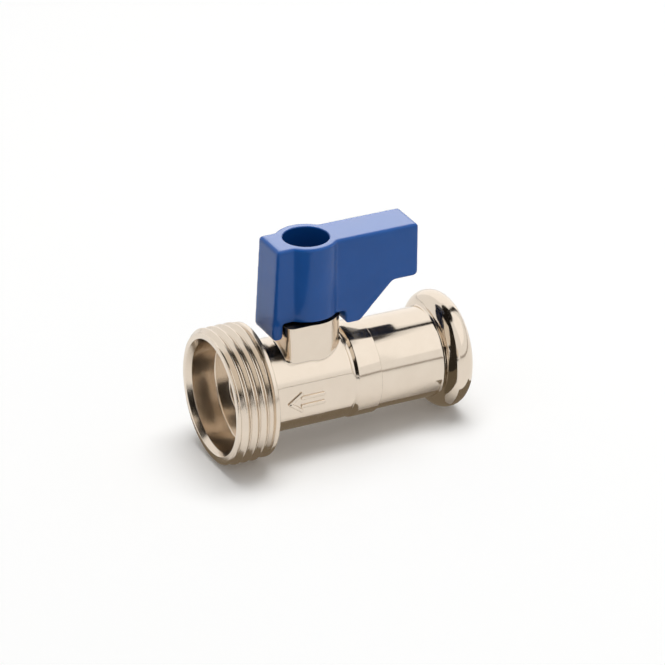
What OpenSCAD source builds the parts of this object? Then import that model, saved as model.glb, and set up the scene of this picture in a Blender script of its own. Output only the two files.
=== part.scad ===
// Quarter-turn ball valve for a washing machine: hose thread at one end,
// press socket at the other, lever on top.
// Millimetres. The waterway runs along X, the spindle stands along Z.
// The origin is the centre of the outlet's sealing face.

/* [Outlet] */
// Outer diameter of the hose thread
thread_od = 26.44; // [26:0.02:28]
// Diameter at the root of the thread
thread_root_d = 24.12; // [23:0.02:24.6]
// Distance from one thread crest to the next
thread_pitch = 1.814; // [1.4:0.01:2]
// Width of the flat on each thread crest
crest_w = 0.4; // [0.2:0.05:0.7]
// Number of thread crests
thread_turns = 4; // [3:1:5]
// Length of the bevel that leads into the thread
lead_in = 0.95; // [0.5:0.05:1.4]
// Length of the whole outlet ring, thread and plain end
ring_len = 8.7; // [8.4:0.1:10.5]
// Radius of the hollow fillet behind the outlet ring
ring_fillet = 1.3; // [0.5:0.1:1.8]
// Bore of the outlet mouth
mouth_d = 21.5; // [18:0.1:22]
// Depth of the outlet mouth
mouth_depth = 5.8; // [3:0.1:7]
// Bevel at the rim of the outlet mouth, measured along the radius
mouth_bevel = 0.6; // [0.2:0.05:0.8]
// Bevel at the rim of the outlet mouth, measured along the axis
mouth_bevel_len = 1.1; // [0.3:0.1:2]

/* [Body] */
// Distance from the outlet's face to the spindle
spindle_x = 19.8; // [19.2:0.1:24]
// Outer diameter of the body
body_d = 18; // [17.8:0.1:19]
// Distance across the two flats on the body's sides
body_flats = 16.8; // [16.2:0.1:17.4]
// Distance from the spindle to the end of the body's flats
flats_reach = 6.7; // [5:0.1:7]
// Outer diameter of the collar at the joint
collar_d = 18.5; // [18.3:0.1:21]
// Length of the collar
collar_len = 4.2; // [3.6:0.1:4.6]
// Distance from the spindle to the joint between body and press end
joint_reach = 11.8; // [11.4:0.1:14]
// Height of the raised arrow over the flat
arrow_rise = 0.3; // [0.1:0.05:0.5]
// Length of the raised arrow
arrow_len = 6.9; // [5:0.1:8]
// Height of the raised arrow's head
arrow_h = 3.4; // [2.4:0.1:4]
// Thickness of the raised arrow's lines
arrow_line = 0.5; // [0.3:0.05:0.7]

/* [Neck] */
// Diameter of the neck that carries the spindle
neck_d = 12.7; // [11.6:0.1:12.8]
// Height of the neck's top over the waterway's axis
neck_top = 13.7; // [13.2:0.1:16]
// Distance from the spindle to the front face of the stop block
stop_front = 6.15; // [5.8:0.05:6.3]
// Distance from the spindle to the side face of the stop block
stop_side = 6.45; // [6.4:0.05:7]
// Radius on the stop block's upright edge
stop_edge_r = 1; // [0.4:0.1:2]

/* [Waterway] */
// Bore of the waterway and of the ball
port_d = 9; // [7:0.1:9.2]
// Diameter of the ball
ball_d = 14; // [13.8:0.1:14.4]
// Half length of the chamber that holds ball and seats
chamber_half = 6.9; // [6.6:0.1:7.2]
// Bore of the chamber
chamber_d = 14.8; // [14.6:0.1:15]
// Length of each seat ring
seat_len = 2.9; // [2:0.1:3.2]

/* [Press end] */
// Outer diameter of the press end's tube
tube_d = 17.7; // [17.2:0.1:18.4]
// Bore of the pipe socket
socket_d = 15.2; // [15.05:0.05:15.8]
// Depth of the pipe socket
socket_depth = 18.6; // [16:0.1:18.8]
// Distance from the joint to the press end's rim
press_len = 19.2; // [19:0.1:26]
// Outer diameter of the bead
bead_d = 23; // [22.4:0.1:24]
// Radius of the bead's outer curve
bead_r = 2.9; // [2.8:0.05:3.1]
// Outer diameter of the screwed spigot
spigot_d = 15.8; // [15.5:0.1:16]
// Thickness of the press end's sealing ring
press_ring_d = 2.8; // [2.4:0.05:3]
// Bore of the press end's sealing ring
press_ring_bore = 15.1; // [15.02:0.01:15.16]

/* [Spindle] */
// Diameter of the spindle's shaft
stem_d = 7; // [6:0.1:7.4]
// Diameter of the spindle's foot
foot_d = 9.2; // [8.4:0.1:9.6]
// Height of the spindle's foot
foot_h = 1.2; // [0.8:0.1:1.5]
// Thickness of the tongue that turns the ball
tongue_w = 2.8; // [2:0.1:3.4]
// Length of the tongue
tongue_len = 6.4; // [5:0.1:6.8]
// Depth of the ball's slot, measured from the top of the ball
slot_depth = 1.7; // [1:0.1:1.9]
// Distance across the flats at the spindle's top
stem_flats = 5.2; // [4.8:0.1:6]
// Length of the flats at the spindle's top
flats_h = 4.9; // [4:0.1:6]
// Thickness of the thrust washer
thrust_h = 0.6; // [0.4:0.05:1]
// Thickness of each spindle seal
stem_ring_d = 1; // [0.8:0.05:1.1]
// Distance between the two spindle seals
stem_ring_step = 1.55; // [1.4:0.05:1.7]

/* [Handle] */
// Length of the lever from the spindle to its tip
lever_reach = 21.6; // [19:0.5:34]
// Distance from the spindle to the lever's short end, at the top
lever_tail = 7.8; // [7.7:0.1:8.4]
// Slant of the lever's short end, in degrees
tail_slant = 3.3; // [2.5:0.1:3.5]
// Thickness of the lever's blade
blade_w = 8.6; // [8:0.1:9.4]
// Height of the lever's top over the waterway's axis
lever_top = 29.4; // [28:0.1:36]
// Height of the lever's blade at its tip
tip_h = 10; // [8:0.1:11]
// Distance from the spindle to the point where the lever's underside starts to fall
slope_reach = 17.3; // [15:0.1:18]
// Diameter of the lever's hub
hub_d = 12.1; // [11.4:0.1:13]
// Diameter of the hole down the hub
hub_hole_d = 9; // [8.6:0.1:9.4]
// Length of the leg at the short end, below the lever's underside
leg_drop = 2.8; // [2:0.1:2.9]
// Length of the hook at the long side, below the lever's underside
hook_drop = 1.7; // [1.2:0.1:2.4]
// Thickness of the hook's foot
hook_w = 4.1; // [3:0.1:5]
// Thickness of the web that sits on the spindle
web_h = 4.9; // [4:0.1:5.4]
// Rounding of the lever's outer corners
lever_round = 1; // [0.4:0.1:1.2]
// Rounding where the lever's slope meets its tip
slope_round = 3; // [1:0.1:5]

/* [Screw] */
// Thread diameter of the handle screw
screw_d = 4; // [3:0.1:4.2]
// Length of the handle screw under its head
screw_len = 6; // [5:0.1:6.2]
// Diameter of the screw's head
screw_head_d = 7.6; // [6:0.1:8]
// Height of the screw's head
screw_head_h = 2.4; // [1.8:0.1:3]
// Thickness of the spring washer
spring_washer_h = 0.9; // [0.6:0.1:1.2]

/* [Clearances] */
// Gap between the ball and its seats, and round what turns
turn_gap = 0.05; // [0.03:0.01:0.06]
// Gap round pieces that are pushed or screwed together
fit_gap = 0.05; // [0.02:0.01:0.1]
// Gap between the lever's legs and the neck
leg_gap = 0.2; // [0.15:0.05:0.4]
// Gap between the neck's top and the lever's underside
handle_gap = 0.6; // [0.4:0.05:1]

/* [Hidden] */
$fn = 96;

nickel = [0.82, 0.77, 0.69];
lever_blue = [0.16, 0.31, 0.58];
seat_white = [0.93, 0.93, 0.9];
seal_black = [0.08, 0.08, 0.08];
steel = [0.72, 0.73, 0.75];

big = 100;
skin = 0.2;
arrow_z = -0.3;
inner_round = 0.4;
edge_bevel = 0.2;
rim_bevel = 0.3;
ring_bevel = 0.5;
collar_slope = 0.4;
nose_bevel = 0.4;
ball_to_foot = 0.4;
web_recess = 0.4;
stem_below_web = 0.2;
screw_tip_room = 0.3;
head_bevel = 0.5;
head_bevel_in = 0.7;
recess_w = 0.9;
recess_len = 4;
recess_depth = 1.4;
washer_slit = 0.6;
slit_angle = 40;
groove_slack = 0.02;

ring_r = thread_od / 2;
root_r = thread_root_d / 2;
body_r = body_d / 2;
collar_r = collar_d / 2;
neck_r = neck_d / 2;
port_r = port_d / 2;
ball_r = ball_d / 2;
chamber_r = chamber_d / 2;
tube_r = tube_d / 2;
socket_r = socket_d / 2;
spigot_r = spigot_d / 2;
stem_r = stem_d / 2;
foot_r = foot_d / 2;
hub_r = hub_d / 2;

joint_x = spindle_x + joint_reach;
collar_x = joint_x - collar_len;
chamber_start = spindle_x - chamber_half;
chamber_end = spindle_x + chamber_half;
rim_x = joint_x + press_len;
stop_x = rim_x - socket_depth;
bead_x = rim_x - bead_r;
bead_mid_r = bead_d / 2 - bead_r;
press_ring_mid_r = (press_ring_bore + press_ring_d) / 2;

// Heights of the spindle's stack, from the ball up.
slot_floor = ball_r - slot_depth;
foot_z = ball_r + ball_to_foot;
foot_top = foot_z + foot_h;
thrust_z = foot_top + turn_gap;
shoulder_z = thrust_z + thrust_h;
lower_ring_z = shoulder_z + stem_ring_d;
upper_ring_z = lower_ring_z + stem_ring_step;
underside_z = neck_top + handle_gap;
web_z = underside_z + web_recess;
web_top = web_z + web_h;
stem_top = web_z + flats_h - stem_below_web;
washer_z = web_top;
head_z = washer_z + spring_washer_h;
ring_groove_r = stem_r - stem_ring_d - groove_slack;

// Turns a shape drawn round Z so that its axis is X, with z = 0 at x.
module along_x(x = 0) translate([x, 0, 0]) rotate([0, 90, 0]) children();

// Solid of revolution round the waterway's axis from points [x, radius].
module turned_x(points) rotate([0, 90, 0]) rotate_extrude()
    polygon([for (p = points) [p[1], p[0]]]);

// Points of an arc with its centre at c, radius r, from angle a to angle b.
function arc(c, r, a, b, steps = 8) =
    [for (i = [0:steps]) let (t = a + (b - a) * i / steps) [c[0] + r * cos(t), c[1] + r * sin(t)]];

// Outline of the thread: one ridge with a flat crest at each pitch.
function thread_ridge(x) = [
    [x - crest_w / 2, ring_r], [x + crest_w / 2, ring_r],
    [x + thread_pitch / 2 - crest_w / 2, root_r], [x + thread_pitch / 2 + crest_w / 2, root_r]];

module body_outside() {
    first_crest = lead_in + crest_w / 2;
    last_root = first_crest + (thread_turns - 0.5) * thread_pitch + crest_w / 2;
    turned_x(concat(
        [[0, 0], [0, root_r - skin]],
        [for (i = [0:thread_turns - 1]) each thread_ridge(first_crest + i * thread_pitch)],
        [[last_root + crest_w, ring_r - skin], [ring_len - ring_bevel, ring_r - skin], [ring_len, root_r]],
        [[ring_len, body_r + ring_fillet]],
        [for (p = arc([ring_len + ring_fillet, body_r + ring_fillet], ring_fillet, 180, 270)) p],
        [[ring_len + ring_fillet, 0]]));
    difference() {
        along_x(ring_len) cylinder(r = body_r, h = collar_x - ring_len + skin);
        for (side = [-1, 1])
            translate([ring_len + ring_fillet, side * (body_flats / 2 + big / 2), 0])
                translate([(spindle_x + flats_reach - ring_len - ring_fillet) / 2, 0, 0])
                    cube([spindle_x + flats_reach - ring_len - ring_fillet, big, big], center = true);
    }
    turned_x([[collar_x, 0], [collar_x, body_r - skin], [collar_x + collar_slope, collar_r],
              [joint_x - edge_bevel, collar_r], [joint_x, collar_r - edge_bevel], [joint_x, 0]]);
    translate([spindle_x, 0, 0]) {
        cylinder(r = neck_r, h = neck_top);
        translate([-stop_side, -stop_front, 0]) {
            translate([stop_edge_r, 0, 0]) cube([stop_side - stop_edge_r + skin, stop_front, neck_top]);
            translate([0, stop_edge_r, 0]) cube([stop_side, stop_front - stop_edge_r, neck_top]);
            translate([stop_edge_r, stop_edge_r, 0]) cylinder(r = stop_edge_r, h = neck_top);
        }
    }
    flow_arrow();
}

// Raised bar between two points [x, z] on the front flat.
module raised_bar(a, b) {
    run = b - a;
    translate([a[0], -body_flats / 2 + skin, a[1]]) rotate([0, -atan2(run[1], run[0]), 0])
        translate([-arrow_line / 2, -arrow_rise - skin, -arrow_line / 2])
            cube([norm(run) + arrow_line, arrow_rise + skin, arrow_line]);
}

// Raised outline of an arrow on the front flat. It points at the outlet.
module flow_arrow() {
    tip = [spindle_x - 7.3, arrow_z];
    neck_x = tip[0] + arrow_len * 0.38;
    tail_x = tip[0] + arrow_len;
    for (side = [-1, 1]) {
        barb = [tip[0] + arrow_len * 0.34, arrow_z + side * arrow_h / 2];
        line_z = arrow_z + side * arrow_h / 4;
        raised_bar(tip, barb);
        raised_bar([neck_x, line_z], [tail_x, line_z]);
    }
}

module body_inside() {
    bevel_r = mouth_d / 2 + mouth_bevel;
    turned_x([[-1, 0], [-1, bevel_r + mouth_bevel / mouth_bevel_len], [mouth_bevel_len, mouth_d / 2],
              [mouth_depth, mouth_d / 2], [mouth_depth, 0]]);
    along_x(mouth_depth - 1) cylinder(r = port_r, h = chamber_start - mouth_depth + 2);
    along_x(chamber_start) cylinder(r = chamber_r, h = joint_x - chamber_start + 1);
    along_x(chamber_end) cylinder(r = spigot_r + fit_gap, h = joint_x - chamber_end + 1);
    translate([spindle_x, 0, 0]) {
        cylinder(r = foot_r + turn_gap, h = shoulder_z);
        cylinder(r = stem_r + turn_gap, h = neck_top + 1);
    }
}

module body() color(nickel) difference() {
    body_outside();
    body_inside();
}

// Press end: a screwed spigot, a tube with the pipe socket, and the bead for the sealing ring.
module press_end() {
    groove_r = press_ring_d / 2 + fit_gap;
    foot_angle = asin((tube_r - bead_mid_r) / bead_r);
    color(nickel) difference() {
        turned_x(concat(
            [[chamber_end, 0], [chamber_end, spigot_r - nose_bevel], [chamber_end + nose_bevel, spigot_r],
             [joint_x, spigot_r], [joint_x, tube_r]],
            arc([bead_x, bead_mid_r], bead_r, 180 - foot_angle, 0, 24),
            [[rim_x, socket_r + rim_bevel], [rim_x - rim_bevel, socket_r], [rim_x - rim_bevel, 0]]));
        along_x(chamber_end - 1) cylinder(r = port_r, h = stop_x - chamber_end + 2);
        along_x(stop_x) cylinder(r = socket_r, h = socket_depth + 1);
        along_x(rim_x - rim_bevel) cylinder(r1 = socket_r, r2 = socket_r + 2 * rim_bevel, h = 2 * rim_bevel);
        along_x(bead_x) rotate_extrude() translate([press_ring_mid_r, 0]) circle(r = groove_r);
    }
}

// Seat ring with a hollow face that fits the ball. side is -1 at the outlet, 1 at the inlet.
module seat(side) {
    far = chamber_half;
    color(seat_white) translate([spindle_x, 0, 0]) difference() {
        turned_x([[side * far, port_r], [side * far, chamber_r - fit_gap],
                  [side * (far - seat_len), chamber_r - fit_gap], [side * (far - seat_len), port_r]]);
        sphere(r = ball_r + turn_gap);
    }
}

module outlet_seat() seat(-1);
module inlet_seat() seat(1);

module ball() color(steel) translate([spindle_x, 0, 0]) difference() {
    sphere(r = ball_r);
    along_x(-ball_r - 1) cylinder(r = port_r, h = ball_d + 2);
    translate([-tongue_w / 2 - fit_gap, -ball_r, slot_floor])
        cube([tongue_w + 2 * fit_gap, ball_d, slot_depth + 1]);
}

// Spindle: tongue, foot, shaft with two seal grooves, and two flats for the lever.
module stem() color(nickel) translate([spindle_x, 0, 0]) difference() {
    union() {
        translate([-tongue_w / 2, -tongue_len / 2, slot_floor + fit_gap])
            cube([tongue_w, tongue_len, foot_z - slot_floor]);
        translate([0, 0, foot_z]) cylinder(r = foot_r, h = foot_h);
        translate([0, 0, foot_z]) cylinder(r = stem_r, h = web_z - foot_z);
        intersection() {
            cylinder(r = stem_r, h = stem_top);
            translate([-stem_flats / 2, -stem_r, web_z - 1]) cube([stem_flats, stem_d, big]);
        }
    }
    for (z = [lower_ring_z, upper_ring_z])
        translate([0, 0, z]) difference() {
            cylinder(r = stem_r + 1, h = stem_ring_d + 2 * fit_gap, center = true);
            cylinder(r = ring_groove_r, h = stem_ring_d + 1, center = true);
        }
    translate([0, 0, head_z - screw_len - screw_tip_room]) cylinder(r = screw_d / 2 + fit_gap, h = big);
}

module thrust_washer() color(seat_white) translate([spindle_x, 0, thrust_z]) difference() {
    cylinder(r = foot_r, h = thrust_h);
    translate([0, 0, -1]) cylinder(r = stem_r + turn_gap, h = thrust_h + 2);
}

module stem_seal(z) color(seal_black) translate([spindle_x, 0, z])
    rotate_extrude() translate([stem_r - stem_ring_d / 2, 0]) circle(r = stem_ring_d / 2);

module lower_stem_seal() stem_seal(lower_ring_z);
module upper_stem_seal() stem_seal(upper_ring_z);

module press_seal_ring() color(seal_black) along_x(bead_x)
    rotate_extrude() translate([press_ring_mid_r, 0]) circle(r = press_ring_d / 2);

// Arc that rounds the corner b of a -> b -> c with radius r.
function corner(a, b, c, r, steps = 5) =
    let (u = (a - b) / norm(a - b), v = (c - b) / norm(c - b), half = acos(u * v) / 2,
         mid = b + (u + v) / norm(u + v) * r / sin(half), start = b + u * r / tan(half) - mid,
         end = b + v * r / tan(half) - mid, turn = sign(cross(start, end)) * (180 - 2 * half))
    [for (i = [0:steps]) let (t = turn * i / steps)
        mid + [start[0] * cos(t) - start[1] * sin(t), start[0] * sin(t) + start[1] * cos(t)]];

// Closed outline from points [x, z, radius], each corner rounded by its radius.
function rounded(points) =
    let (n = len(points), flat = [for (p = points) [p[0], p[1]]])
    [for (i = [0:n - 1])
        each corner(flat[(i + n - 1) % n], flat[i], flat[(i + 1) % n], points[i][2])];

// Side outline of the lever, with x measured from the spindle.
function lever_outline() =
    let (tail_low = lever_tail + (lever_top - underside_z + leg_drop) * tan(tail_slant),
         leg_in = stop_side + leg_gap, hook_in = neck_r + leg_gap,
         leg_z = underside_z - leg_drop, hook_z = underside_z - hook_drop,
         foot_out = hook_in + hook_w, tip_z = lever_top - tip_h,
         leg_round = (tail_low - leg_in) * 0.45)
    rounded([[-lever_tail, lever_top, lever_round], [-tail_low, leg_z, leg_round],
             [-leg_in, leg_z, leg_round], [-leg_in, underside_z, inner_round],
             [hook_in, underside_z, inner_round], [hook_in, hook_z, inner_round],
             [foot_out, hook_z, lever_round], [slope_reach, tip_z, slope_round],
             [lever_reach, tip_z, lever_round], [lever_reach, lever_top, lever_round]]);

module handle() color(lever_blue) translate([spindle_x, 0, 0]) difference() {
    union() {
        translate([0, blade_w / 2, 0]) rotate([90, 0, 0]) linear_extrude(blade_w)
            polygon(lever_outline());
        translate([0, 0, underside_z]) cylinder(r = hub_r, h = lever_top - underside_z);
    }
    translate([0, 0, web_top]) cylinder(r = hub_hole_d / 2, h = big);
    translate([0, 0, underside_z - 1]) cylinder(r = stem_r + fit_gap, h = web_z - underside_z + 1);
    intersection() {
        translate([0, 0, underside_z]) cylinder(r = stem_r + fit_gap, h = web_h + 2);
        translate([-stem_flats / 2 - fit_gap, -stem_r - 1, underside_z])
            cube([stem_flats + 2 * fit_gap, stem_d + 2, web_h + 2]);
    }
}

// Split ring under the screw's head.
module spring_washer() color(steel) translate([spindle_x, 0, washer_z]) difference() {
    cylinder(r = screw_head_d / 2, h = spring_washer_h);
    translate([0, 0, -1]) cylinder(r = screw_d / 2 + 2 * fit_gap, h = spring_washer_h + 2);
    rotate([0, 0, slit_angle]) translate([0, -washer_slit / 2, -1])
        cube([screw_head_d, washer_slit, spring_washer_h + 2]);
}

module handle_screw() color(steel) translate([spindle_x, 0, head_z]) difference() {
    union() {
        cylinder(r = screw_head_d / 2, h = screw_head_h - head_bevel);
        translate([0, 0, screw_head_h - head_bevel])
            cylinder(r1 = screw_head_d / 2, r2 = screw_head_d / 2 - head_bevel_in, h = head_bevel);
        translate([0, 0, -screw_len]) cylinder(r = screw_d / 2, h = screw_len);
    }
    for (turn = [0, 90]) rotate([0, 0, turn])
        translate([-recess_len / 2, -recess_w / 2, screw_head_h - recess_depth])
            cube([recess_len, recess_w, 2]);
}

body();
press_end();
outlet_seat();
inlet_seat();
ball();
stem();
thrust_washer();
lower_stem_seal();
upper_stem_seal();
handle();
spring_washer();
handle_screw();
press_seal_ring();
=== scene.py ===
# %% [markdown]
# # A washing machine valve
#
# A small quarter-turn ball valve: nickel-plated brass, with a hose thread at the outlet,
# a press socket for pipe at the other end and a blue moulded lever on top.
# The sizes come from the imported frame, so every piece made here lands on the solid it dresses.

# %% Load the frame
import math

import bmesh
import bpy
from mathutils import Matrix, Vector


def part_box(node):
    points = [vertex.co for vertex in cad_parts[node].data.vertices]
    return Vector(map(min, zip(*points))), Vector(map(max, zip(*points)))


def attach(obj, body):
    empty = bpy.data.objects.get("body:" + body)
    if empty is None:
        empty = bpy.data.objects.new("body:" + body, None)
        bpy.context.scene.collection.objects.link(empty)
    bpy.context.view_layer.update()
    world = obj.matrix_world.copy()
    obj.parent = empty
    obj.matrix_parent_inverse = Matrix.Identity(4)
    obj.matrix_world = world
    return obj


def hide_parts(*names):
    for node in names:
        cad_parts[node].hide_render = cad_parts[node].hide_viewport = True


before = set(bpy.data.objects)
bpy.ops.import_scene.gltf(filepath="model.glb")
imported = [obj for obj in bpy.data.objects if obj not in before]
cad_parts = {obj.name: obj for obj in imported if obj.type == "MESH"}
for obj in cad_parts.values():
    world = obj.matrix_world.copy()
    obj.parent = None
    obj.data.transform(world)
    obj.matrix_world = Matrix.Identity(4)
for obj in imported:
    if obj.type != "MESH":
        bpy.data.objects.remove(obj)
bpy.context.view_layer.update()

# %% [markdown]
# ## Measure the solids
#
# One way to place new geometry is to type every number again. Reading the boxes of the
# solids is safer: when a size changes there, the pieces here follow. Only what a box can't
# tell, such as a wall inside another piece, is written as a named value in millimetres.

# %% Sizes from the frame
MM = 0.001


def span(node, axis):
    """Lowest and highest place of a node along an axis, in millimetres."""
    low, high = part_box(node)
    return low[axis] / MM, high[axis] / MM


X, Y, Z = 0, 1, 2
ring_r = span("body", Y)[1]
joint_x = span("body", X)[1]
rim_x = span("press_end", X)[1]
bead_r = span("press_end", Y)[1]
nose_x = span("press_end", X)[0]
spindle_x = sum(span("stem", X)) / 2
lever_tip, lever_top = span("handle", X)[1], span("handle", Z)[1]
lever_end, leg_z = span("handle", X)[0], span("handle", Z)[0]
hub_r = span("handle", Y)[1]
web_top = span("spring_washer", Z)[0]
print(f"ring radius {ring_r:.2f}, joint at {joint_x:.2f}, spindle at {spindle_x:.2f}")

# %% [markdown]
# What follows is measured in millimetres: names ending in _r are radii, and names ending in
# _x are places along the waterway. Sizes that the photo shows were read off it through a
# fitted camera. The ones it hides were chosen to fit the solids.

# %% Sizes of walls and hollows
root_r = 12.45
thread_pitch = 1.814
lead_in = 0.56
face_r = 12.4
ring_back = 8.7
ring_fillet = 1.3
mouth_r = 10.75
mouth_rim_r = 11.35
mouth_bevel = 1.1
mouth_depth = 6.0
port_r = 4.5
chamber_r = 7.4
chamber_x = spindle_x - 6.9
body_r = 9.0
flat_y = 8.4
flats_end = spindle_x + 6.4
collar_r = 9.25
collar_x = joint_x - 5.4
neck_r = 6.35
neck_face = 14.0
stop_side = 6.45
stop_front = 6.15
stem_bore_r = 3.55
spigot_r = 7.9
joint_bore_r = spigot_r + 0.05
tube_r = 8.85
socket_r = 7.6
socket_floor = rim_x - 18.6
bead_section = 2.9

# %% [markdown]
# ## Camera
#
# The valve is seen from the front left and a little above, through a long lens, so lines
# along the waterway stay nearly parallel. The camera looks at a point under the lever.

# %% Camera
VIEW_AZIMUTH = math.radians(-26.68)
VIEW_ELEVATION = math.radians(26.77)
VIEW_ROLL = math.radians(0.43)
VIEW_DISTANCE = 757 * MM
VIEW_TARGET = Vector((25.49, 0, 8.15)) * MM
LENS = 216.8
SENSOR_WIDTH = 36


def away(azimuth, elevation):
    """Direction from the object to an eye at this azimuth and elevation."""
    flat = math.cos(elevation)
    return Vector((math.sin(azimuth) * flat, -math.cos(azimuth) * flat, math.sin(elevation)))


camera = bpy.data.objects.new("camera", bpy.data.cameras.new("camera"))
bpy.context.scene.collection.objects.link(camera)
camera.data.lens = LENS
camera.data.sensor_width = SENSOR_WIDTH
camera.data.clip_start = 0.01
camera.location = VIEW_TARGET + away(VIEW_AZIMUTH, VIEW_ELEVATION) * VIEW_DISTANCE
aim = (VIEW_TARGET - camera.location).to_track_quat("-Z", "Y").to_matrix()
camera.rotation_euler = (aim @ Matrix.Rotation(VIEW_ROLL, 3, "Z")).to_euler()
bpy.context.scene.camera = camera
print("camera at", [round(c, 3) for c in camera.location])

# %% [markdown]
# ## Helpers for outlines
#
# Turned and moulded parts are outlines first. An outline here is a list of corners, each
# with its own rounding, and one function turns every corner into an arc. Typing the arc's
# points by hand would be longer, and it would hide the size that matters.

# %% Rounded outlines


def rounded(corners, steps=5):
    """Points of a closed outline from corners (u, v, radius)."""
    points = []
    for i, (u, v, radius) in enumerate(corners):
        here = Vector((u, v))
        before = (Vector(corners[i - 1][:2]) - here).normalized()
        after = (Vector(corners[(i + 1) % len(corners)][:2]) - here).normalized()
        half = before.angle(after, math.pi) / 2
        if radius <= 0 or half > math.radians(89):
            points.append(here)
            continue
        centre = here + (before + after).normalized() * radius / math.sin(half)
        start = here + before * radius / math.tan(half) - centre
        turn = start.angle_signed(here + after * radius / math.tan(half) - centre)
        for k in range(steps + 1):
            points.append(centre + Matrix.Rotation(-turn * k / steps, 2) @ start)
    return points


def arc(centre, radius, start, end, steps=16):
    """Points of an arc; the angles are in degrees."""
    angles = [math.radians(start + (end - start) * k / steps) for k in range(steps + 1)]
    return [Vector((centre[0] + radius * math.cos(a), centre[1] + radius * math.sin(a)))
            for a in angles]


print("corner check:", len(rounded([(0, 0, 1), (4, 0, 1), (4, 4, 1), (0, 4, 1)])), "points")

# %% [markdown]
# ## Helpers for meshes
#
# Three shapes cover nearly the whole valve: a profile spun round the waterway, a profile
# spun round the spindle, and an outline pushed into a prism. A bmesh operator makes each.

# %% Spun and pushed shapes


def ring_of(bm, points, place):
    """A closed loop of vertices and edges through 2D points."""
    verts = [bm.verts.new(place(p)) for p in points]
    edges = [bm.edges.new((verts[i - 1], verts[i])) for i in range(len(verts))]
    return verts, edges


def spin_x(bm, points, steps=160):
    """Closed profile of (x, radius) points, in millimetres, spun round the waterway."""
    verts, edges = ring_of(bm, points, lambda p: Vector((p[0], 0, max(p[1], 0))) * MM)
    bmesh.ops.spin(bm, geom=verts + edges, cent=(0, 0, 0), axis=(1, 0, 0),
                   angle=math.tau, steps=steps, use_merge=True)
    tidy(bm)


def spin_z(bm, points, steps=96):
    """Closed profile of (radius, z) points, in millimetres, spun round the spindle."""
    verts, edges = ring_of(bm, points, lambda p: Vector((spindle_x + max(p[0], 0), 0, p[1])) * MM)
    bmesh.ops.spin(bm, geom=verts + edges, cent=(spindle_x * MM, 0, 0), axis=(0, 0, 1),
                   angle=math.tau, steps=steps, use_merge=True)
    tidy(bm)


def prism(bm, points, place, push):
    """Outline placed in space and pushed along a vector into a solid."""
    verts = [bm.verts.new(place(p)) for p in points]
    face = bm.faces.new(verts)
    pushed = bmesh.ops.extrude_face_region(bm, geom=[face])["geom"]
    moved = [g for g in pushed if isinstance(g, bmesh.types.BMVert)]
    bmesh.ops.translate(bm, verts=moved, vec=push)
    tidy(bm)


def tidy(bm):
    """Joins doubled points and turns every face outwards."""
    bmesh.ops.remove_doubles(bm, verts=bm.verts, dist=1e-7)
    bmesh.ops.recalc_face_normals(bm, faces=bm.faces)
    if bm.calc_volume(signed=True) < 0:
        bmesh.ops.reverse_faces(bm, faces=bm.faces)


def piece(name, bm, sharp=35):
    """Object from a bmesh, smooth apart from edges sharper than an angle."""
    mesh = bpy.data.meshes.new(name)
    bm.to_mesh(mesh)
    bm.free()
    mesh.shade_smooth()
    if sharp:
        mesh.set_sharp_from_angle(angle=math.radians(sharp))
    obj = bpy.data.objects.new(name, mesh)
    bpy.context.scene.collection.objects.link(obj)
    return obj


def report(obj):
    """Prints how many faces a piece has and how large it is."""
    size = [round(v / MM, 2) for v in obj.dimensions]
    print(f"{obj.name}: {len(obj.data.polygons)} faces, {size} mm")


# %% [markdown]
# ## Helpers for forged and moulded shapes
#
# A forging has no sharp inside corners: metal flows into soft fillets. Bevels on crossing
# solids tear easily, so the solids are remeshed into one skin instead, and the skin is
# relaxed until its edges and corners have the softness of the real part. Whatever is
# machined afterwards is then cut with crisp edges.

# %% One soft skin from several solids


def bake(obj):
    """Puts the result of an object's modifiers into its mesh."""
    bpy.context.view_layer.update()
    depsgraph = bpy.context.evaluated_depsgraph_get()
    mesh = bpy.data.meshes.new_from_object(obj.evaluated_get(depsgraph))
    obj.modifiers.clear()
    old, obj.data = obj.data, mesh
    bpy.data.meshes.remove(old)


def soft_skin(obj, voxel, rounds):
    """Joins the solids of an object into one skin and relaxes it."""
    remesh = obj.modifiers.new("skin", "REMESH")
    remesh.mode = "VOXEL"
    remesh.voxel_size = voxel * MM
    relax = obj.modifiers.new("relax", "SMOOTH")
    relax.factor = 0.5
    relax.iterations = rounds
    bake(obj)


def boolean(obj, other, operation):
    """Combines an object with another one, which is used up."""
    cut = obj.modifiers.new("cut", "BOOLEAN")
    cut.operation = operation
    cut.solver = "EXACT"
    cut.object = other
    bake(obj)
    bpy.data.objects.remove(other)


def finish_shape(obj, sharp=35):
    """Smooth shading with crisp machined edges."""
    obj.data.shade_smooth()
    obj.data.set_sharp_from_angle(angle=math.radians(sharp))


def join(target, *others):
    """Adds the meshes of other objects to a target and removes them."""
    bm = bmesh.new()
    bm.from_mesh(target.data)
    for other in others:
        bm.from_mesh(other.data)
        bpy.data.objects.remove(other)
    bm.to_mesh(target.data)
    bm.free()


# %% [markdown]
# ## Forged middle of the body
#
# The middle of the body was forged: a round barrel with two flats on its sides, a short
# neck with a square stop block at one corner, and a soft fillet up to the outlet ring.

# %% Forged middle
FORGING_VOXEL = 0.21
FORGING_ROUNDS = 34
barrel_start = ring_back + ring_fillet
forging_end = collar_x + 1.7


def ring_foot():
    """Back of the outlet ring, the hollow fillet and a core through the barrel."""
    fillet = arc((barrel_start, body_r + ring_fillet), ring_fillet, 180, 270, 10)
    core = flat_y - 0.15
    start = ring_back - 0.9
    back = [(start, 0), (start, ring_r - 0.35), (ring_back - 0.25, ring_r - 0.35),
            (ring_back, ring_r - 0.9)]
    inner = [(barrel_start, core), (forging_end, core), (forging_end, 0)]
    return [Vector(p) for p in back] + fillet + [Vector(p) for p in inner]


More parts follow.
